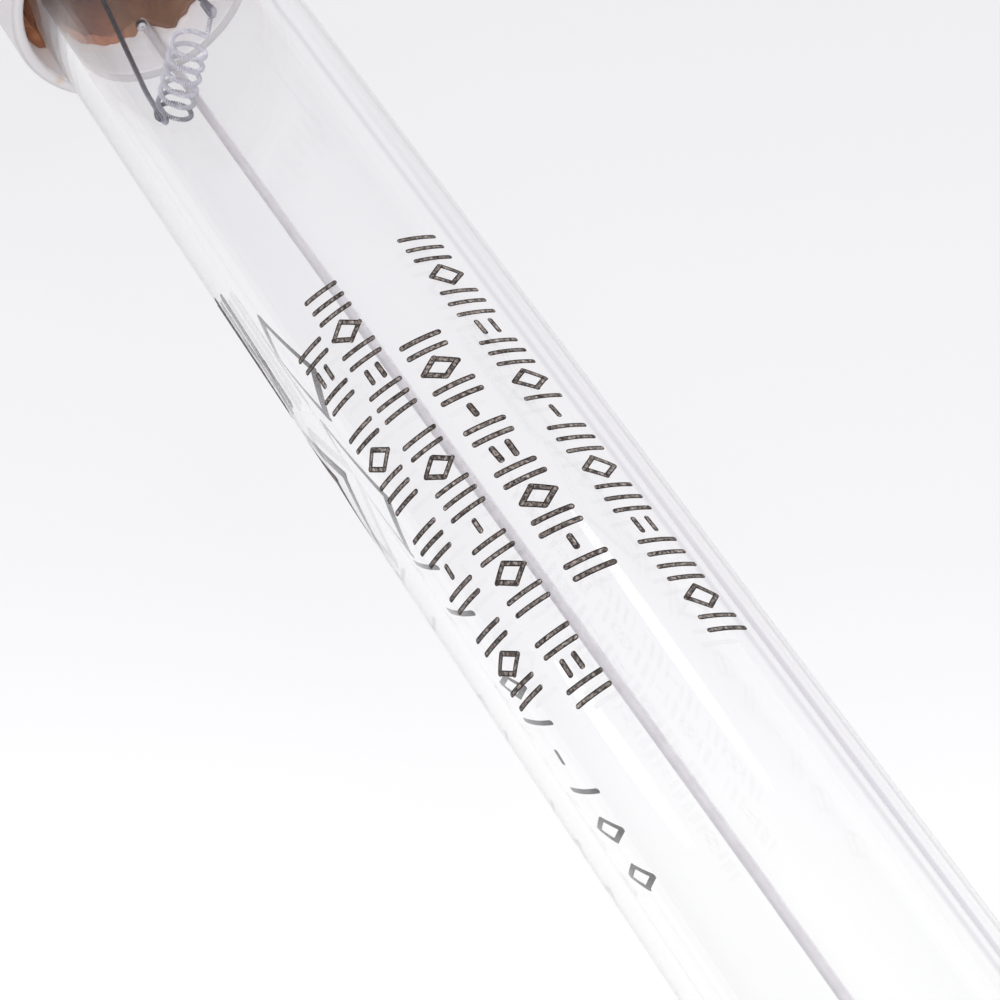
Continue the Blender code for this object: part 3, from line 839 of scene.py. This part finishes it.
# The print is fired-on dark ink, in four slanted rows above and four short ones underneath. Each mark is
# made of plain bars: a single one, a lozenge or a dash. The ink gathered at the edges of a mark and is thin
# inside, where light comes through.
ink, tones, surface = finish_of(
    "fired ink", (0.5, 0.425, 0.38), (0.03, 0.024, 0.022),
    scale=5200, roughness=0.5, relief=0.3, depth=0.00001, Specular_IOR_Level=0.2,
)
tree = ink.node_tree
along_and_over = apart(tree, node(tree, "ShaderNodeUVMap", uv_map="UVMap").outputs[0])
off_centre = figured(tree, "ABSOLUTE", figured(tree, "SUBTRACT", along_and_over["Y"], 0.5))
inside_mark = stretch(tree, off_centre, 0.22, 0.35, 1, 0)
thick_below = -0.0015
on_top = stretch(tree, apart(tree, place_on(tree))["Z"], thick_below, 0, 0.15, 1)
thin = figured(tree, "MULTIPLY", figured(tree, "MULTIPLY", inside_mark, tones["Mask"]), on_top)
thick_colour = (0.02, 0.015, 0.014, 1)
coloured(surface, blended(tree, thin, thick_colour, tones["Color"]))
tree.links.new(stretch(tree, thin, 0, 1, 1, 0.7), surface.inputs["Alpha"])

film_gap = 0.000004
film_thickness = 0.00001
tube_radius_mm = tube_radius * 1000
stroke_columns = 20
cap_columns = 5
blunt_tip = 8
alone()
bpy.ops.mesh.primitive_grid_add(x_subdivisions=stroke_columns, y_subdivisions=4, size=1)
stroke = bpy.context.object
stroke.name = "stroke"


def run_and_rise(start, end):
    """The direction from start to end on the unrolled tube, and the one at right angles to it."""
    run = (end - start).normalized()
    return run, Vector((-run.y, run.x))


def marked(start, end, width):
    """A copy of the stroke from start to end on the unrolled tube, with round ends, in millimetres."""
    copy = stroke.copy()
    copy.data = stroke.data.copy()
    bpy.context.scene.collection.objects.link(copy)
    half = (end - start).length / 2
    run, rise = run_and_rise(start, end)
    centre = (start + end) / 2
    for corner in copy.data.vertices:
        column = round((corner.co.x + 0.5) * stroke_columns)
        from_end = min(column, stroke_columns - column)
        turn = math.radians(blunt_tip + (90 - blunt_tip) * min(1, from_end / cap_columns))
        s = half + width / 2 * math.cos(turn)
        if from_end > cap_columns:
            s = half * (1 - 2 * (from_end - cap_columns) / (stroke_columns - 2 * cap_columns))
        s = math.copysign(s, column - stroke_columns / 2)
        spot = centre + run * s + rise * (corner.co.y * width * math.sin(turn))
        corner.co = (spot.x, spot.y, 0)
    return copy


bar = (((0.5, 0), (0.5, 1)),)
lozenge = (
    ((0.5, 0.05), (0.12, 0.5)), ((0.12, 0.5), (0.5, 0.95)),
    ((0.5, 0.95), (0.88, 0.5)), ((0.88, 0.5), (0.5, 0.05)),
)
dash = (((0.25, 0.5), (0.75, 0.5)),)
twin = (((0.2, 0.3), (0.8, 0.3)), ((0.2, 0.7), (0.8, 0.7)))
roofed = (
    ((0.06, 0.96), (0.94, 0.96)), ((0.06, 0.84), (0.94, 0.84)),
    ((0.5, 0.04), (0.1, 0.38)), ((0.1, 0.38), (0.5, 0.72)),
    ((0.5, 0.72), (0.94, 0.38)), ((0.94, 0.38), (0.5, 0.04)),
)
shapes = {
    "/": (0.62, bar), "o": (1.3, lozenge), "-": (1.0, dash), "=": (1.0, twin), "n": (1.0, roofed),
    " ": (0.8, ()),
}
rows = (
    (62.6, 34.2, 94.4, 44.0, 2.35, 0.30, "///o///=///o/-///o///=////o//"),
    (69.3, 7.6, 88.3, 11.2, 2.5, 0.36, "//o//-//=//o//-//"),
    (62.6, -15.2, 94.0, -17.6, 2.3, 0.31, "///o//=/// //o///-//o// //=//"),
    (64.6, -35.0, 91.2, -42.2, 2.3, 0.31, "//=// //o/// ///-// //o//"),
    (54.0, -103.0, 64.0, -104.5, 7.2, 0.60, "n"),
    (63.4, -94.6, 77.1, -97.4, 6.4, 0.60, "o"),
    (75.2, -106.0, 82.3, -112.3, 4.0, 0.42, "/ / "),
    (84.0, -114.6, 99.6, -115.6, 3.4, 0.36, "o / - / o o"),
)
mark_slant = 0.3
unevenness = 0.02
strokes = []
shake = random.Random(7)
for x0, turn0, x1, turn1, height, width, cells in rows:
    start = Vector((x0, math.radians(turn0) * tube_radius_mm))
    end = Vector((x1, math.radians(turn1) * tube_radius_mm))
    run, rise = run_and_rise(start, end)
    pitch = (end - start).length / sum(shapes[cell][0] for cell in cells)
    reached = 0.0
    for cell in cells:
        cell_width, lines = shapes[cell]
        for line in lines:
            ends = []
            for u, h in line:
                along = (reached + u * cell_width + shake.uniform(-unevenness, unevenness)) * pitch
                up = (h - 0.5 + shake.uniform(-unevenness, unevenness)) * (height - width)
                ends.append(start + run * (along + (h - 0.5) * mark_slant) + rise * up)
            strokes.append(marked(*ends, width))
        reached += cell_width
bpy.data.objects.remove(stroke)
marks = joined("printed_marks", strokes)
for corner in marks.data.vertices:
    turn = corner.co.y / tube_radius_mm
    orbit = tube_radius + film_gap
    corner.co = (corner.co.x / 1000, orbit * math.sin(turn), orbit * math.cos(turn))
film = marks.modifiers.new("film", "SOLIDIFY")
film.thickness = film_thickness
film.offset = 1
alone(marks)
bpy.ops.object.modifier_apply(modifier="film")
smooth(marks, 60)
finished(marks, ink, [])
